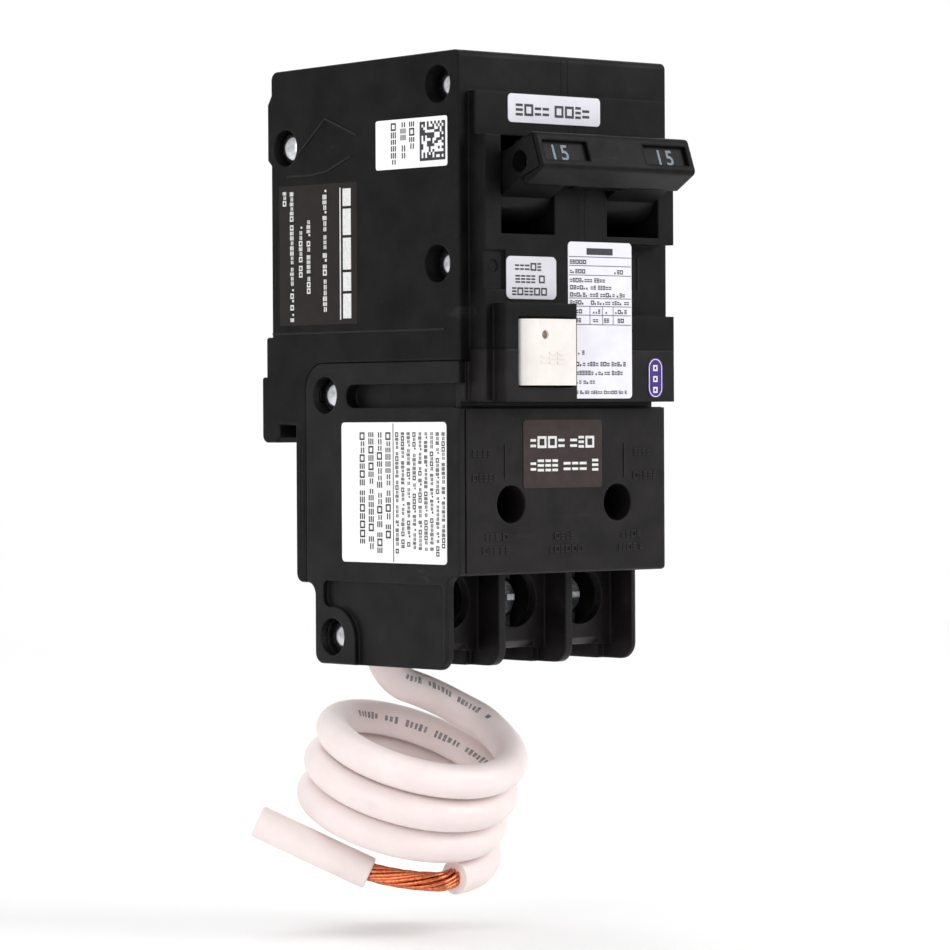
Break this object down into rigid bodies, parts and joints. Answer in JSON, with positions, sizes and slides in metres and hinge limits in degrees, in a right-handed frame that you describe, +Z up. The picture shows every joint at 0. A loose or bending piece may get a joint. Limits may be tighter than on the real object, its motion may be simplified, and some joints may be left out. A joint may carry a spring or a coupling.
{
  "type": "ground-fault circuit breaker",
  "caption": "Plug-on double-pole ground-fault circuit breaker with tied handles, a test button, screw terminals and a coiled neutral pigtail.",
  "frame": {"origin": "closed end of the rail hook notch under the foot, halfway across the width", "axes": "+Z up with the breaker upright, handle above and terminals below; -Y out of the front face; +X to the right seen from the front"},
  "size_m": [0.0637, 0.0711, 0.1529],
  "materials": {
    "case_plastic": "matte thermoset",
    "handle_plastic": "matte moulded",
    "steel": "plain",
    "zinc": "zinc plated",
    "copper": "bare copper",
    "bimetal": "rolled",
    "lug_metal": "tin plated",
    "brass": "crimped",
    "inner_plastic": "moulded",
    "board": "glass-fibre laminate",
    "components": "mixed",
    "ring": "taped winding",
    "button_plastic": "smooth",
    "light_pipe": "clear",
    "white_label": "printed",
    "brown_label": "printed",
    "purple_label": "printed",
    "insulation": "extruded"
  },
  "bodies": {
    "case": {"arc_chute_left": "steel", "arc_chute_right": "steel", "bimetal_left": "bimetal", "bimetal_right": "bimetal", "board_parts": "components", "case_centre_plate": "case_plastic", "case_left": "case_plastic", "case_right": "case_plastic", "case_rivets": "zinc", "circuit_board": "board", "flexible_braids": "copper", "jaw_springs": "steel", "line_jaw_left": "copper", "line_jaw_right": "copper", "load_strap_left": "copper", "load_strap_right": "copper", "lug_centre": "lug_metal", "lug_left": "lug_metal", "lug_right": "lug_metal", "lug_screws": "zinc", "magnet_yoke_left": "steel", "magnet_yoke_right": "steel", "module_base": "case_plastic", "module_side_cover": "case_plastic", "neutral_strap": "copper", "notice_label": "white_label", "pigtail_bushing": "case_plastic", "pigtail_coil": "insulation", "pigtail_crimp": "brass", "pigtail_lead": "insulation", "pigtail_slug": "insulation", "pigtail_strands": "copper", "pigtail_tail": "insulation", "plunger_spring": "steel", "rating_label": "white_label", "sense_ring": "ring", "serial_label": "white_label", "side_labels": "white_label", "solenoid_coil": "copper", "tag_label": "purple_label", "terminal_block": "case_plastic", "test_spring": "copper", "wiring_label": "brown_label"},
    "handle": {"handle_left": "handle_plastic", "handle_right": "handle_plastic", "handle_tie_bar": "handle_plastic", "handle_tie_pin": "steel"},
    "left_contact": {"contact_arm_left": "copper", "main_spring_left": "steel"},
    "right_contact": {"contact_arm_right": "copper", "main_spring_right": "steel"},
    "trip_cradles": {"cradle_left": "steel", "cradle_right": "steel", "trip_bar": "inner_plastic"},
    "left_armature": {"armature_left": "steel"},
    "right_armature": {"armature_right": "steel"},
    "plunger": {"solenoid_plunger": "steel", "trip_link": "inner_plastic"},
    "button": {"test_button": "button_plastic", "status_led": "light_pipe"}
  },
  "joints": [
    {"name": "handle_swing", "type": "hinge", "parent": "case", "child": "handle", "pos_m": [0, -0.0465, 0.0425], "axis": [1, 0, 0], "range_deg": [0, 40]},
    {"name": "contact_left_swing", "type": "hinge", "parent": "case", "child": "left_contact", "pos_m": [-0.0127, -0.03, 0.022], "axis": [1, 0, 0], "range_deg": [0, 22]},
    {"name": "contact_right_swing", "type": "hinge", "parent": "case", "child": "right_contact", "pos_m": [0.0127, -0.03, 0.022], "axis": [1, 0, 0], "range_deg": [0, 22]},
    {"name": "cradle_drop", "type": "hinge", "parent": "case", "child": "trip_cradles", "pos_m": [0, -0.0365, 0.033], "axis": [1, 0, 0], "range_deg": [-12, 0]},
    {"name": "armature_left_pull", "type": "hinge", "parent": "case", "child": "left_armature", "pos_m": [-0.0127, -0.0144, 0.023], "axis": [1, 0, 0], "range_deg": [-5, 0], "stiffness_Nm_per_rad": 0.006},
    {"name": "armature_right_pull", "type": "hinge", "parent": "case", "child": "right_armature", "pos_m": [0.0127, -0.0144, 0.023], "axis": [1, 0, 0], "range_deg": [-5, 0], "stiffness_Nm_per_rad": 0.006},
    {"name": "plunger_lift", "type": "slide", "parent": "case", "child": "plunger", "axis": [0, 0, 1], "range_m": [0, 0.003], "stiffness_N_per_m": 60, "deforming": ["plunger_spring"]},
    {"name": "test_button_press", "type": "slide", "parent": "case", "child": "button", "axis": [0, 1, 0], "range_m": [0, 0.0015], "stiffness_N_per_m": 600}
  ],
  "couplings": [
    {"joint": "contact_left_swing", "follows": "handle_swing", "ratio": 0.55},
    {"joint": "contact_right_swing", "follows": "handle_swing", "ratio": 0.55}
  ]
}
